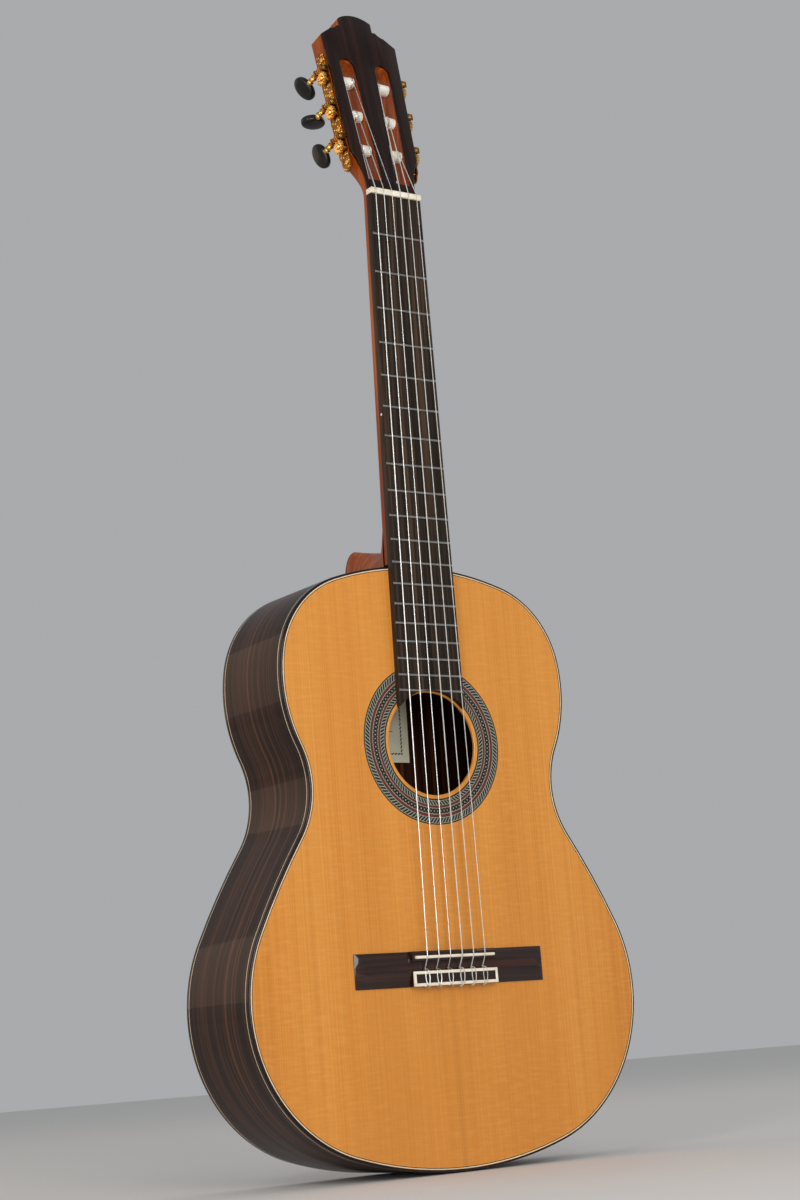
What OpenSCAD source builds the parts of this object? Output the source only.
// Classical guitar, six strings, nineteen frets, worm-and-gear tuning machines.
// Frame: +Z runs up the neck, +X to the treble side, -Y out of the soundboard.
// The origin is in the neck at the nut, between the arms of a wall hanger.
// y = 0 is the face of the soundboard and z = 0 is the front edge of the nut.

/* [Strings and neck] */
// Vibrating length of the open strings
scale_length = 650; // [640:1:660]
// Width of the fingerboard at the nut
nut_w = 52; // [50:0.5:54]
// Width of the fingerboard at the twelfth fret
joint_w = 61.5; // [60:0.5:63]
// Fingerboard face above the soundboard plane, at the nut
board_rise_nut = 10.5; // [10:0.1:11]
// Fingerboard face above the soundboard, at the body joint
board_rise_joint = 6.5; // [6:0.1:7]
// Spacing between the outer strings at the nut
string_span_nut = 43; // [42:0.5:44]
// Spacing between the outer strings at the saddle
string_span_saddle = 57.5; // [56:0.5:59]

/* [Body] */
// Height of the body's shoulder line under the nut
body_top = 326; // [324:0.5:328]
// Depth of the body at the heel, along the crown of the back
depth_neck = 95; // [93:0.5:97]
// Depth of the body at the tail, along the crown of the back
depth_tail = 107; // [103:0.5:108]
// Radius of the arch across the back
back_arch_r = 4500; // [4000:100:6000]
// Thickness of the ribs
rib_t = 2; // [1.8:0.1:2.2]
// Thickness of the soundboard and of the back
plate_t = 2.5; // [2.2:0.1:2.8]
// Radius of the sound hole
hole_r = 43; // [42:0.5:43.5]
// Centre of the sound hole below the nut
hole_drop = 476.5; // [476:0.5:478]

/* [Bridge] */
// Length of the bridge
bridge_len = 186; // [180:1:190]
// Width of the bridge along the strings
bridge_w = 28; // [27:0.5:29]
// Height of the strings over the soundboard at the saddle
saddle_rise = 9.9; // [9.5:0.1:10.5]

/* [Head and machines] */
// Backward tilt of the head
head_tilt = 12; // [11:0.5:13]
// Thickness of the head with its veneer
head_t = 18; // [17.5:0.5:19]
// Half width of the head at the nearest roller
head_half = 35.2; // [35:0.1:36]
// Outward lean of each side of the head
side_tilt = 2; // [1.5:0.25:2.5]
// Distance from the nut to the nearest rollers
first_roller = 46; // [45:0.5:47]
// Distance between neighbouring rollers
roller_pitch = 35.5; // [35:0.5:36]
// Radius of a roller's barrel
roller_r = 5; // [4.8:0.1:5.1]
// Teeth on each gear
gear_teeth = 14; // [14:1:14]

/* [Hidden] */
$fn = 48;
far = 400;             // longer than any cut needs
arc_step = 4;          // degrees of outline between neighbouring points

// Body outline: tangent arcs of [radius, sweep], clockwise from the top centre.
// A negative sweep is the hollow of the waist. A last arc closes the tail.
body_arcs = [[275, 18], [82, 62], [124, 36], [74, -60], [616, 8], [128, 98]];
purfling_w = 1.5;      // white and dark lines round the soundboard's face
purfling_t = 1.5;
binding_t = 4.5;       // depth of the dark edge strip
side_line_t = 0.7;     // light line between that strip and the rib
lining_w = 5.5;
lining_h = 14;
rosette_in = 46.2;
rosette_out = 67.6;
rosette_t = 1.2;
heel_core = 6;         // half width of the neck between the ends of the ribs
foot_half = 30;
foot_len = 26;

// Frets and fingerboard
fret_total = 19;
fret_r = 1.1;
neck_rise = 4;         // front of the neck over the soundboard plane, at the nut
neck_back_nut = 10;    // back of the neck behind the soundboard plane, at the nut
neck_back_heel = 16.5;
board_slope = atan((board_rise_nut - board_rise_joint) / (scale_length / 2));
board_end_r = hole_r + 1;
nut_t = 5;
nut_rise = 12.6;
string_seat = 11.8;    // bottom of the nut's grooves over the soundboard plane

// Head, in its own frame: x across, y into the head, z up the head from the nut
head_face = 7;         // face of the head at the nut, over the soundboard plane
veneer_t = 2.5;
mid_roller = first_roller + roller_pitch;
side_mid = head_half + roller_pitch * tan(side_tilt);
roller_depth = 9.2;    // roller axes behind the head's face
cheek_w = 12;
slot_w = 15;
slot_low = 17;
slot_high = 136.5;
running_gap = 0.06;

// Machines, in a side frame: x out of the head, y into it, z up its side
plate_thick = 1.2;
plate_half = 6.2;
plate_low = -56.5;
plate_high = 59.5;
screw_rows = [-51.5, -17.75, 17.75, 54.5];
gear_x = 4.6;          // middle of the gear and axis of the worm, off the side
gear_w = 3;
worm_lead = 2.6;
gear_r = worm_lead * gear_teeth / (2 * PI);
worm_r = 2.6;
worm_offset = gear_r + worm_r;
tooth_high = 0.6;      // tip over the pitch circle
tooth_low = 0.8;       // root under the pitch circle
shaft_r = 1.7;
button_rest = [20, 90, 35, 35, 90, 20];  // how far each button stands turned

// Strings from the sixth, on the bass side, to the first: radii, and how far
// from the middle each one meets its roller
string_r = [0.55, 0.45, 0.37, 0.51, 0.41, 0.36];
roller_reach = [19.5, 16.5, 13.5, 13.5, 16.5, 19.5];
winding_turns = 4;

function fret_z(n) = -scale_length * (1 - pow(2, -n / 12));
function mix(a, b, t) = a + (b - a) * t;
function board_half(z) = mix(nut_w, joint_w, -z / (scale_length / 2)) / 2;
function board_y(z) = -mix(board_rise_nut, board_rise_joint, -z / (scale_length / 2));
function neck_front(z) = -neck_rise * max(0, 1 + z / (scale_length / 2));
function neck_back(z) = mix(neck_back_nut, neck_back_heel, min(1, -z / 290));
function reversed(list) = [for (i = [len(list) - 1:-1:0]) list[i]];
function flipped(list) = [for (p = reversed(list)) [-p[0], p[1]]];

// Start of arc i as [x, z, heading], heading in degrees below +X
function arc_start(i) = i == 0 ? [0, -body_top, 0] :
  let (s = arc_start(i - 1), a = body_arcs[i - 1], k = sign(a[1]), e = s[2] + a[1])
  [s[0] + k * a[0] * (sin(e) - sin(s[2])), s[1] + k * a[0] * (cos(e) - cos(s[2])), e];
tail_start = arc_start(len(body_arcs));
tail_arc = [tail_start[0] / sin(tail_start[2]), 180 - tail_start[2]];
all_arcs = concat(body_arcs, [tail_arc]);
body_bottom = tail_start[1] - tail_arc[0] * (1 + cos(tail_start[2]));

// Right half of the outline moved outwards by d, from the top to the tail
function half_outline(d) = [for (i = [0:len(all_arcs) - 1])
  let (s = arc_start(i), a = all_arcs[i], k = sign(a[1]), n = ceil(abs(a[1]) / arc_step),
    cx = s[0] - k * a[0] * sin(s[2]), cz = s[1] - k * a[0] * cos(s[2]))
  for (j = [(i == 0 ? 0 : 1):n]) let (t = s[2] + a[1] * j / n)
  [cx + (k * a[0] + d) * sin(t), cz + (k * a[0] + d) * cos(t)]];
function full_outline(d) = let (h = half_outline(d)) concat(h, flipped(h));

// A closed tube of radius r along a list of points
function unit(v) = v / norm(v);
function along(p, i) = unit(p[min(i + 1, len(p) - 1)] - p[max(i - 1, 0)]);
module tube(p, r, sides = 8) {
  n = len(p);
  ring = [for (i = [0:n - 1]) let (t = along(p, i), u = unit(cross(t, [1, 0.1, 0])), v = cross(t, u))
    for (k = [0:sides - 1]) let (a = 360 * k / sides) p[i] + r * (cos(a) * u + sin(a) * v)];
  walls = [for (i = [0:n - 2], k = [0:sides - 1]) let (m = (k + 1) % sides)
    [i * sides + k, i * sides + m, (i + 1) * sides + m, (i + 1) * sides + k]];
  start = [for (k = [sides - 1:-1:0]) k];
  end = [for (k = [0:sides - 1]) (n - 1) * sides + k];
  polyhedron(ring, concat(walls, [start, end]));
}
// A closed skin through sections that have the same number of points
module loft(sections) {
  n = len(sections);
  m = len(sections[0]);
  pts = [for (s = sections, q = s) q];
  walls = [for (i = [0:n - 2], k = [0:m - 1]) let (j = (k + 1) % m, a = i * m, b = a + m)
    each [[a + k, b + k, b + j], [a + k, b + j, a + j]]];
  start = [for (k = [0:m - 1]) k];
  end = [for (k = [m - 1:-1:0]) (n - 1) * m + k];
  polyhedron(pts, concat(walls, [start, end]));
}

// Plan shapes in x and z, given depth along y
module plan(y0, y1) translate([0, y1, 0]) rotate([90, 0, 0]) linear_extrude(y1 - y0) children();
module slab(d, y0, y1) plan(y0, y1) polygon(full_outline(d));
module box(x0, x1, y0, y1, z0, z1) translate([x0, y0, z0]) cube([x1 - x0, y1 - y0, z1 - z0]);
module bore_y(r, y0, y1) translate([0, y1, 0]) rotate([90, 0, 0]) cylinder(r = r, h = y1 - y0);
module bore_x(r, x0, x1) translate([x0, 0, 0]) rotate([0, 90, 0]) cylinder(r = r, h = x1 - x0);

// Everything in front of the arched back, seen from "inset" inside its outer face
back_slope = atan((depth_tail - depth_neck) / (-body_top - body_bottom));
module back_space(inset) translate([0, depth_neck, -body_top]) rotate([back_slope, 0, 0])
  translate([0, -back_arch_r, 0]) cylinder(r = back_arch_r - inset, h = 1400, center = true, $fn = 720);
module in_back(outer, inner) difference() {
  intersection() {
    children();
    back_space(outer);
  }
  if (inner > 0) back_space(inner);
}
module ring_plan(outer, inner) difference() {
  polygon(full_outline(outer));
  polygon(full_outline(inner));
}
// Room that the neck's foot and the tail block take from the linings
module block_room() {
  box(-foot_half, foot_half, -1, 200, -body_top - foot_len, 0);
  box(-tail_half, tail_half, -1, 200, -far * 3, tail_top);
}
tail_half = 35;
tail_top = body_bottom + 22;

// Body plates
module soundboard() color([0.86, 0.58, 0.3]) difference() {
  union() {
    slab(-rib_t - purfling_w, 0, purfling_t);
    slab(-rib_t, purfling_t, plate_t);
  }
  translate([0, 0, -hole_drop]) {
    bore_y(hole_r, -1, plate_t + 1);
    difference() {
      bore_y(rosette_out, -1, rosette_t);
      bore_y(rosette_in, -2, rosette_t + 1);
    }
  }
}
module rosette() color([0.45, 0.4, 0.3]) translate([0, 0, -hole_drop]) difference() {
  bore_y(rosette_out, 0, rosette_t);
  bore_y(rosette_in, -1, rosette_t + 1);
}
module back() color([0.22, 0.1, 0.06]) in_back(0, plate_t) slab(-rib_t, 20, 140);
module rib(side) color([0.2, 0.09, 0.06]) in_back(binding_t + side_line_t, 0)
  plan(binding_t + side_line_t, 140) scale([side, 1]) difference() {
    polygon(concat(half_outline(0), reversed(half_outline(-rib_t))));
    translate([-1, -body_top - 20]) square([1 + heel_core, 21]);
  }
module rib_bass() rib(-1);
module rib_treble() rib(1);
module top_lining() color([0.75, 0.6, 0.42]) difference() {
  plan(plate_t, plate_t + lining_h) ring_plan(-rib_t, -rib_t - lining_w);
  block_room();
}
module back_lining() color([0.75, 0.6, 0.42]) difference() {
  in_back(plate_t, plate_t + lining_h) plan(40, 140) ring_plan(-rib_t, -rib_t - lining_w);
  block_room();
}
module top_binding() color([0.16, 0.07, 0.05]) difference() {
  plan(0, binding_t) ring_plan(0, -rib_t);
  box(-heel_core, heel_core, plate_t, 20, -body_top - 10, 0);
}
module top_purfling() color([0.9, 0.85, 0.7]) {
  plan(0, purfling_t) ring_plan(-rib_t, -rib_t - purfling_w);
  difference() {
    plan(binding_t, binding_t + side_line_t) ring_plan(0, -rib_t);
    box(-heel_core, heel_core, 0, 20, -body_top - 10, 0);
  }
}
module back_binding() color([0.16, 0.07, 0.05]) difference() {
  in_back(0, binding_t) plan(40, 140) ring_plan(0, -rib_t);
  box(-heel_core, heel_core, 0, depth_neck - plate_t, -body_top - 10, 0);
}
module back_purfling() color([0.9, 0.85, 0.7]) difference() {
  in_back(binding_t, binding_t + side_line_t) plan(40, 140) ring_plan(0, -rib_t);
  box(-heel_core, heel_core, 0, 140, -body_top - 10, 0);
}

// Bars glued inside, all trimmed to the inside of the linings
bar_w = 6;
fan_count = 7;
fan_w = 5;
fan_h = 6;
module inside() intersection() {
  children();
  slab(-rib_t - lining_w - 0.2, 0, 140);
}
module fan(angle, x) translate([x, 0, fan_top]) rotate([0, angle, 0])
  box(-fan_w / 2, fan_w / 2, plate_t, plate_t + fan_h, -fan_len, 0);
fan_top = -552;
fan_len = 180;
module fan_braces() color([0.85, 0.72, 0.5]) inside() {
  for (k = [0:fan_count - 1]) let (m = k - (fan_count - 1) / 2) fan(-5 * m, 17 * m);
  for (side = [-1, 1]) translate([side * 5, 0, -798]) rotate([0, -side * 32, 0])
    mirror([side > 0 ? 0 : 1, 0, 0]) box(0, 104, plate_t, plate_t + fan_h, 0, fan_w);
}
module harmonic_bars() color([0.85, 0.72, 0.5]) inside() for (z = [-412, -540])
  box(-200, 200, plate_t, plate_t + 15, z - bar_w / 2, z + bar_w / 2);
module back_bars() color([0.8, 0.65, 0.45]) inside() for (z = [-372, -516, -660])
  in_back(plate_t, plate_t + 15) box(-200, 200, 40, 140, z - bar_w / 2, z + bar_w / 2);
module tail_block() color([0.72, 0.45, 0.28]) in_back(plate_t, 0) intersection() {
  slab(-rib_t, plate_t, 140);
  box(-tail_half, tail_half, 0, 140, -far * 3, tail_top);
}
label_half = 42;
label_low = -478;
module label() color([0.93, 0.9, 0.78]) in_back(plate_t, plate_t + 0.3)
  box(-label_half, label_half, 40, 140, label_low, label_low + 72);

// Neck: a shaft lofted along z, a heel lofted along y, and a foot in the body
shaft_steps = 12;
shaft_points = 18;
round_power = 0.82;    // below 1 squares the neck's back a little
function powered(v) = sign(v) * pow(abs(v), round_power);
function shaft_section(z) = let (f = neck_front(z), b = neck_back(z), w = board_half(z))
  [for (k = [0:shaft_points]) let (a = 180 * k / shaft_points)
    [w * powered(cos(a)), f + (b - f) * powered(sin(a)), z]];
heel_points = 16;
heel_steps = 16;
heel_start = 6;
heel_end = depth_neck - 2.3;
function heel_half(y) = 12.5 + 18.3 * pow(max(0, heel_end - y) / (heel_end - heel_start), 1.5);
function heel_ridge(y) = y < 25 ? -306 + 0.2 * pow(25 - y, 2) : -306 + 14 * pow((y - 25) / 69, 1.5);
function heel_outline(y) = let (w = heel_half(y), h = heel_ridge(y) + body_top + 3)
  [for (k = [0:heel_points]) let (a = 180 * k / heel_points)
    [w * cos(a), -body_top - 3 + h * pow(sin(a), 0.9)]];
function heel_section(y) = [for (p = reversed(heel_outline(y))) [p[0], y, p[1]]];
// One section inside the body, then even steps from the body joint past the nut
shaft_levels = concat([-body_top - 2],
  [for (k = [0:shaft_steps]) mix(-scale_length / 2, 8, k / shaft_steps)]);
module shaft() loft([for (z = shaft_levels) shaft_section(z)]);
module heel() loft([for (k = [0:heel_steps])
  heel_section(mix(heel_start, heel_end, pow(k / heel_steps, 1.3)))]);
module foot() {
  in_back(plate_t, 0) intersection() {
    slab(-rib_t, plate_t, 140);
    box(-foot_half, foot_half, 0, 140, -body_top - foot_len, 0);
  }
  box(-foot_half, foot_half, plate_t, 12, -392, -body_top - foot_len);
}
module neck() color([0.62, 0.3, 0.16]) {
  difference() {
    union() {
      shaft();
      heel();
    }
    slab(0, -20, 140);
    head_frame() box(-60, 60, -60, 60, 0, 60);
    box(-60, 60, -30, neck_front(0), -1, 20);
  }
  box(-heel_core, heel_core, plate_t, depth_neck - binding_t, -body_top - rib_t - 1, -body_top + 1);
  foot();
}
module heel_cap() color([0.2, 0.09, 0.06]) difference() {
  plan(heel_end, depth_neck) polygon(heel_outline(heel_end));
  slab(0, 20, 140);
}

// Fingerboard, frets and nut
module board_block() intersection() {
  rotate([90, 0, 90]) translate([0, 0, -60]) linear_extrude(120)
    polygon([[0, -460], [0, -scale_length / 2], [-neck_rise, 0], [board_y(0), 0], [board_y(-460), -460]]);
  plan(-40, 40) polygon([[-board_half(0), 0], [board_half(0), 0],
    [board_half(-460), -460], [-board_half(-460), -460]]);
}
module on_board(z) translate([0, board_y(z), z]) rotate([board_slope, 0, 0]) children();
module fret_line(n, trim, tang, crown) on_board(fret_z(n)) rotate([90, 0, 90])
  translate([0, 0, trim - board_half(fret_z(n))]) linear_extrude(2 * (board_half(fret_z(n)) - trim)) {
    if (crown) intersection() {
      circle(fret_r, $fn = 24);
      translate([-2 * fret_r, -2 * fret_r]) square([2 * fret_r, 4 * fret_r]);
    }
    translate([-0.01, -tang / 2]) square([1.6, tang]);
  }
module hole_room() translate([0, 0, -hole_drop]) bore_y(board_end_r, -60, 30);
module fingerboard() color([0.1, 0.07, 0.06]) difference() {
  board_block();
  hole_room();
  for (n = [1:fret_total]) fret_line(n, -1, 0.6, false);
  side_dot_at() bore_x(1.1, -2, 1.2);
}
module frets() color([0.8, 0.8, 0.8]) difference() {
  for (n = [1:fret_total]) fret_line(n, 0.3, 0.55, true);
  hole_room();
}
dot_z = (fret_z(6) + fret_z(7)) / 2 + 6;
module side_dot_at() translate([-board_half(dot_z), board_y(dot_z) + 3, dot_z]) children();
module side_dot() color("white") intersection() {
  side_dot_at() bore_x(1.1, -2, 1.2);
  board_block();
}
function string_nut_x(k) = mix(-0.5, 0.5, (k - 1) / 5) * string_span_nut;
function string_saddle_x(k) = mix(-0.5, 0.5, (k - 1) / 5) * string_span_saddle;
module nut() color([0.95, 0.93, 0.87]) difference() {
  box(-nut_w / 2, nut_w / 2, -nut_rise, -neck_rise, 0, nut_t);
  for (k = [1:6]) let (r = string_r[k - 1] + 0.08)
    box(string_nut_x(k) - r, string_nut_x(k) + r, -20, -string_seat, -1, nut_t + 1);
  translate([0, -nut_rise - 2.2, nut_t]) rotate([35, 0, 0]) box(-30, 30, -3, 3, 0, 4);
}

// Bridge: two thin wings, a block that holds the saddle, and the tie block
bridge_top = -646.5;
saddle_z = -651.5;
saddle_t = 2.5;
saddle_half = 39;
centre_half = 41.5;
wing_t = 4.2;
block_rise = 7.6;
tie_rise = 8.2;
tie_w = 12;
tie_hole_y = -4.6;
frame_w = 2.4;
frame_t = 1.6;
bridge_low = bridge_top - bridge_w;
module bridge_profile() polygon([[0, bridge_low], [-tie_rise, bridge_low], [-tie_rise, bridge_low + tie_w],
  [-3, bridge_low + tie_w + 1], [-3.4, saddle_z - 3.5], [-block_rise, saddle_z - 3],
  [-block_rise, bridge_top - 1.5], [-block_rise + 1.5, bridge_top], [0, bridge_top]]);
wing_arch_r = 34;      // crown across each wing
wing_end = 0.8;        // thickness left at a wing's tip, under its ramp
wing_ramp = 17;
module wing_profile() intersection() {
  translate([-wing_t, bridge_low]) square([wing_t, bridge_w]);
  translate([wing_arch_r - wing_t, bridge_low + bridge_w / 2]) circle(wing_arch_r, $fn = 360);
}
module bridge() color([0.2, 0.08, 0.05]) difference() {
  union() {
    rotate([90, 0, 90]) translate([0, 0, -centre_half]) linear_extrude(2 * centre_half) bridge_profile();
    rotate([90, 0, 90]) translate([0, 0, -bridge_len / 2]) linear_extrude(bridge_len) wing_profile();
  }
  box(-saddle_half - 0.1, saddle_half + 0.1, -20, -2.4, saddle_z - saddle_t / 2, saddle_z + saddle_t / 2);
  for (k = [1:6]) translate([string_saddle_x(k), tie_hole_y, bridge_low - 5]) cylinder(r = 1, h = 22);
  for (side = [-1, 1]) translate([side * bridge_len / 2, -wing_end, 0]) rotate([0, 0, side * wing_ramp])
    mirror([side > 0 ? 0 : 1, 0, 0]) box(-13, 20, -10, 0, bridge_low - 1, bridge_top + 1);
  tie_frame_room();
}
module tie_frame_room() plan(-tie_rise - 1, -tie_rise + frame_t) tie_frame_plan();
module tie_frame_plan() difference() {
  translate([-centre_half, bridge_low]) square([2 * centre_half, tie_w]);
  translate([-centre_half + frame_w, bridge_low + frame_w])
    square([2 * (centre_half - frame_w), tie_w - 2 * frame_w]);
}
module tie_frame() color([0.93, 0.88, 0.75]) plan(-tie_rise, -tie_rise + frame_t) tie_frame_plan();
module saddle() color([0.95, 0.93, 0.87]) rotate([90, 0, 90]) translate([0, 0, -saddle_half])
  linear_extrude(2 * saddle_half) {
    translate([-saddle_rise + 1.25, saddle_z - saddle_t / 2]) square([saddle_rise - 1.25 - 2.4, saddle_t]);
    translate([-saddle_rise + 1.25, saddle_z]) circle(1.25, $fn = 32);
  }

// Head, with its two slots and the holes for the rollers
module head_frame() translate([0, -head_face, nut_t]) rotate([-head_tilt, 0, 0]) children();
module side_frame(side) head_frame() mirror([side < 0 ? 1 : 0, 0, 0])
  translate([side_mid, 0, mid_roller]) rotate([0, side_tilt, 0]) children();
function side_x(s) = side_mid + (s - mid_roller) * tan(side_tilt);
crown_side = 160;
crown_top = 187;
flare_r = 65;
module head_plan() difference() {
  union() {
    polygon([[-nut_w / 2, 0], [nut_w / 2, 0], [side_x(38), 38], [side_x(crown_side), crown_side],
      [22, crown_side + 13], [-22, crown_side + 13], [-side_x(crown_side), crown_side], [-side_x(38), 38]]);
    intersection() {
      translate([0, crown_top - 30]) circle(30, $fn = 96);
      translate([-17, crown_side]) square([34, 60]);
    }
  }
  for (side = [-1, 1]) {
    translate([side * (nut_w / 2 - 0.5 + flare_r), 5]) circle(flare_r, $fn = 128);
    translate([side * 31, crown_side + 22]) circle(14, $fn = 64);
  }
}
module slot_plan() translate([-cheek_w - slot_w / 2, 0]) hull()
  for (z = [slot_low + slot_w / 2, slot_high - slot_w / 2])
    translate([0, z - mid_roller]) circle(slot_w / 2);
// The neck's rounded back fades into the head's square one over the throat
throat_len = 38;
throat_square = 0.05;  // power of a section that is nearly square
function throat_half(s) = nut_w / 2 - 0.2 + flare_r - sqrt(flare_r * flare_r - pow(s - nut_t, 2));
function faded(t) = t * t * (3 - 2 * t);
function throat_power(s) = mix(round_power, throat_square, faded(min(1, max(0, s / throat_len))));
function throat_section(s, w, b, power) = concat([[w, -20, s]],
  [for (k = [0:shaft_points]) let (a = 180 * k / shaft_points)
    [w * sign(cos(a)) * pow(abs(cos(a)), power), veneer_t + (b - veneer_t) * pow(abs(sin(a)), power), s]],
  [[-w, -20, s]]);
module throat() loft(concat(
  [for (s = [-4:3:throat_len]) throat_section(s, throat_half(s), head_t + 0.2, throat_power(s))],
  [for (s = [throat_len + 0.1, crown_top + 20]) throat_section(s, 60, 40, throat_square)]));
module slots() for (side = [-1, 1]) side_frame(side) plan(-10, head_t + 10) slot_plan();
// The nut's end of each slot is ramped for the strings
module ramps() for (side = [-1, 1]) side_frame(side)
  translate([-cheek_w - slot_w / 2, 0, slot_low - mid_roller - 7]) rotate([-55, 0, 0])
    box(-slot_w / 2, slot_w / 2, -20, 0, -20, 26);
module head_solid(y0, y1) difference() {
  head_frame() plan(y0, y1) head_plan();
  slots();
  ramps();
  box(-60, 60, -40, -neck_rise, -20, nut_t);
}
module head() color([0.62, 0.3, 0.16]) difference() {
  intersection() {
    head_solid(veneer_t, head_t);
    head_frame() throat();
  }
  for (side = [-1, 1], row = [-1:1]) side_frame(side) translate([0, roller_depth, row * roller_pitch]) {
    bore_x(roller_r + running_gap, -cheek_w - 1, 5);
    bore_x(journal_r + running_gap, -web_depth - 0.3, -cheek_w - slot_w + 1);
  }
  for (side = [-1, 1], z = screw_rows) side_frame(side) translate([0, screw_y, z]) bore_x(0.9, -8.2, 2);
}
module head_veneer() color([0.12, 0.06, 0.05]) head_solid(0, veneer_t);

// Tuning machines
screw_y = 7.5;
journal_r = 3.2;
web_depth = 34;
lug_y = [[-5.9, -4.6], [4.9, 6.8]];
module at_gear(k) side_frame(k <= 3 ? -1 : 1)
  translate([0, roller_depth, (k <= 3 ? k - 2 : 5 - k) * roller_pitch]) children();
module tuner_plate(side) color([0.85, 0.65, 0.25]) side_frame(side) difference() {
  union() {
    translate([0, roller_depth, 0]) {
      box(0, plate_thick, -plate_half, plate_half, plate_low + plate_half, plate_high - plate_half);
      for (z = [plate_low + plate_half, plate_high - plate_half])
        translate([0, 0, z]) bore_x(plate_half, 0, plate_thick);
    }
    for (row = [-1:1], e = lug_y) translate([0, roller_depth, row * roller_pitch + worm_offset])
      box(0, gear_x + 2.8, e[0], e[1], -2.8, 2.8);
  }
  for (row = [-1:1]) translate([0, roller_depth, row * roller_pitch]) {
    bore_x(journal_r + running_gap, -1, plate_thick + 1);
    translate([gear_x, 0, worm_offset]) bore_y(shaft_r + running_gap, -10, 10);
  }
  for (z = screw_rows) translate([0, screw_y, z]) bore_x(1.1, -1, plate_thick + 1);
}
module tuner_plate_bass() tuner_plate(-1);
module tuner_plate_treble() tuner_plate(1);
module plate_screws() color([0.85, 0.68, 0.3])
  for (side = [-1, 1], z = screw_rows) side_frame(side) translate([0, screw_y, z]) difference() {
    union() {
      bore_x(0.9, -8, plate_thick);
      bore_x(2, plate_thick, plate_thick + 0.9);
    }
    box(plate_thick + 0.5, plate_thick + 2, -3, 3, -0.3, 0.3);
  }
module roller(k) at_gear(k) {
  color([0.93, 0.91, 0.85]) difference() {
    bore_x(roller_r, -cheek_w - slot_w + 0.4, -0.2);
    translate([-string_place(k), 0, 0]) bore_y(0.9, -10, 10);
  }
  color([0.8, 0.62, 0.25]) {
    bore_x(journal_r, -web_depth, -cheek_w - slot_w + 0.4);
    bore_x(journal_r, -0.2, gear_x - gear_w / 2);
    bore_x(1.5, gear_x - gear_w / 2, gear_x + gear_w / 2);
  }
  color([0.8, 0.8, 0.78]) winding(k);
}
// Distance along the roller's axis, in from the side, at which string k lands
function string_place(k) = let (row = k <= 3 ? k - 2 : 5 - k)
  (side_mid + row * roller_pitch * sin(side_tilt) - roller_reach[k - 1]) / cos(side_tilt);
function outboard(k) = k == 1 || k == 6 ? -1 : 1;
module winding(k) let (r = string_r[k - 1] + 0.02)
  translate([-string_place(k), 0, 0]) rotate([0, 90, 0]) rotate_extrude()
    for (j = [0:winding_turns - 1])
      translate([roller_r + r, outboard(k) * j * 2 * r]) circle(r - 0.02, $fn = 16);
module gear(k) color([0.85, 0.65, 0.25]) at_gear(k) {
  translate([gear_x - gear_w / 2, 0, 0]) rotate([90, 0, 90]) difference() {
    linear_extrude(gear_w) union() {
      circle(gear_r - tooth_low);
      for (j = [0:gear_teeth - 1]) rotate((j + 0.5) * 360 / gear_teeth + 90) translate([gear_r, 0])
        polygon([[-tooth_low - 0.3, -0.68], [tooth_high, -0.3],
          [tooth_high, 0.3], [-tooth_low - 0.3, 0.68]]);
    }
    translate([0, 0, -1]) cylinder(r = 1.5, h = gear_w + 2);
  }
  color([0.8, 0.75, 0.6]) difference() {
    bore_x(2.6, gear_x + gear_w / 2, gear_x + gear_w / 2 + 1.4);
    box(gear_x + gear_w / 2 + 0.8, 20, -4, 4, -0.35, 0.35);
  }
}

// Worm thread: a tapered ridge wound round the shaft, right-handed in the world
thread_steps = 20;
thread_turns = 3;
worm_root = worm_r - tooth_low;
worm_tip = worm_r + tooth_high;
function thread_ring(i, hand) = let (t = i / thread_steps - thread_turns / 2, a = 360 * t * hand)
  [for (q = [[worm_root - 0.25, -0.62], [worm_root - 0.25, 0.62], [worm_tip, 0.28], [worm_tip, -0.28]])
    [q[0] * sin(a), worm_lead * t + q[1], -q[0] * cos(a)]];
module thread(hand) mirror([hand > 0 ? 0 : 1, 0, 0])
  loft([for (i = [0:thread_steps * thread_turns]) thread_ring(i, -1)]);
module worm(k) color([0.85, 0.68, 0.3]) at_gear(k) translate([gear_x, 0, worm_offset]) {
  bore_y(worm_root, lug_y[0][1] + 0.15, lug_y[1][0] - 0.15);
  bore_y(shaft_r, lug_y[0][0], button_start + 6);
  thread(k <= 3 ? -1 : 1);
  for (e = worm_collars) bore_y(e[1], e[0], e[0] + e[2]);
}
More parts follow.
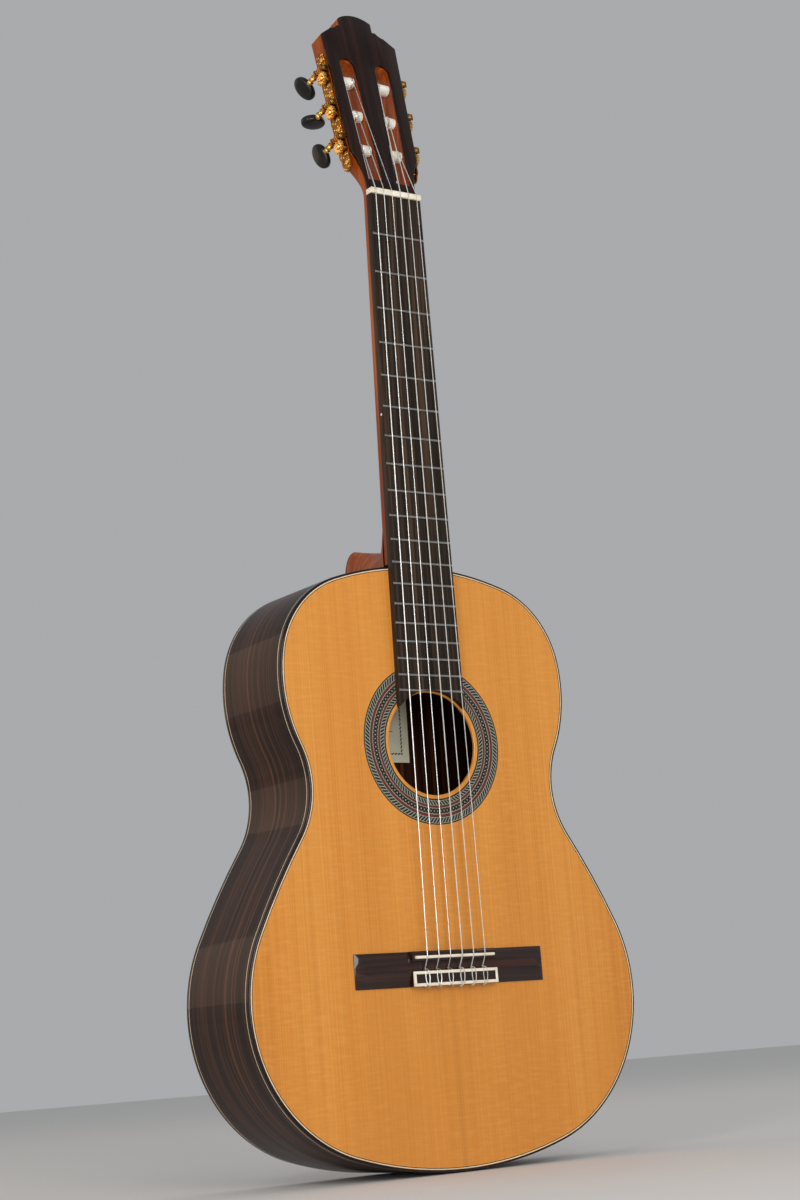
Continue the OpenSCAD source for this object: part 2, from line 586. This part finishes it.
// Collars on the worm's shaft: start, radius, length
worm_collars = [[7.1, 2.4, 1.6], [10, 3, 1.4], [12.2, 2.4, 2.4], [15.4, 3.1, 1.6], [17.4, 2.3, 1.4]];
button_start = 18.8;
button_len = 17;
button_half = 11.5;
button_t = 8.5;
module button(k) color([0.07, 0.06, 0.06]) at_gear(k)
  translate([gear_x, 0, worm_offset]) rotate([0, button_rest[k - 1], 0]) difference() {
    translate([-button_t / 2, 0, 0]) rotate([90, 0, 90]) linear_extrude(button_t)
      polygon([for (a = [0:10:350]) [button_start + button_len / 2 * (1 - cos(a)), button_half * sin(a)]]);
    bore_y(shaft_r, button_start - 1, button_start + 6);
  }

// Strings: from the roller, over the nut and the saddle, to the tie block
function head_point(x, y, z) = [x, -head_face + y * cos(head_tilt) + z * sin(head_tilt),
  nut_t - y * sin(head_tilt) + z * cos(head_tilt)];
function string_route(k) = let (r = string_r[k - 1], side = k <= 3 ? -1 : 1,
    row = k <= 3 ? k - 2 : 5 - k, s = mid_roller + row * roller_pitch * cos(side_tilt)
      + string_place(k) * sin(side_tilt), nx = string_nut_x(k), sx = string_saddle_x(k))
  [head_point(side * roller_reach[k - 1], roller_depth - roller_r - 3 * r - 0.5, s - 1),
   [nx, -string_seat - r - 0.05, nut_t], [nx, -string_seat - r - 0.05, 0],
   [sx, -saddle_rise - r - 0.03, saddle_z + 0.6], [sx, -saddle_rise - r - 0.03, saddle_z - 0.6],
   [sx, tie_hole_y, bridge_low + tie_w + 0.5], [sx, tie_hole_y, bridge_low - 1.5]];
module string(k) color(k <= 3 ? [0.75, 0.75, 0.74] : [0.9, 0.88, 0.8])
  tube(string_route(k), string_r[k - 1]);

soundboard();
back();
rib_bass();
rib_treble();
top_lining();
back_lining();
fan_braces();
harmonic_bars();
back_bars();
tail_block();
neck();
head();
heel_cap();
head_veneer();
fingerboard();
frets();
nut();
side_dot();
bridge();
tie_frame();
saddle();
rosette();
label();
top_binding();
top_purfling();
back_binding();
back_purfling();
tuner_plate_bass();
tuner_plate_treble();
plate_screws();
for (k = [1:6]) {
  string(k);
  roller(k);
  gear(k);
  worm(k);
  button(k);
}
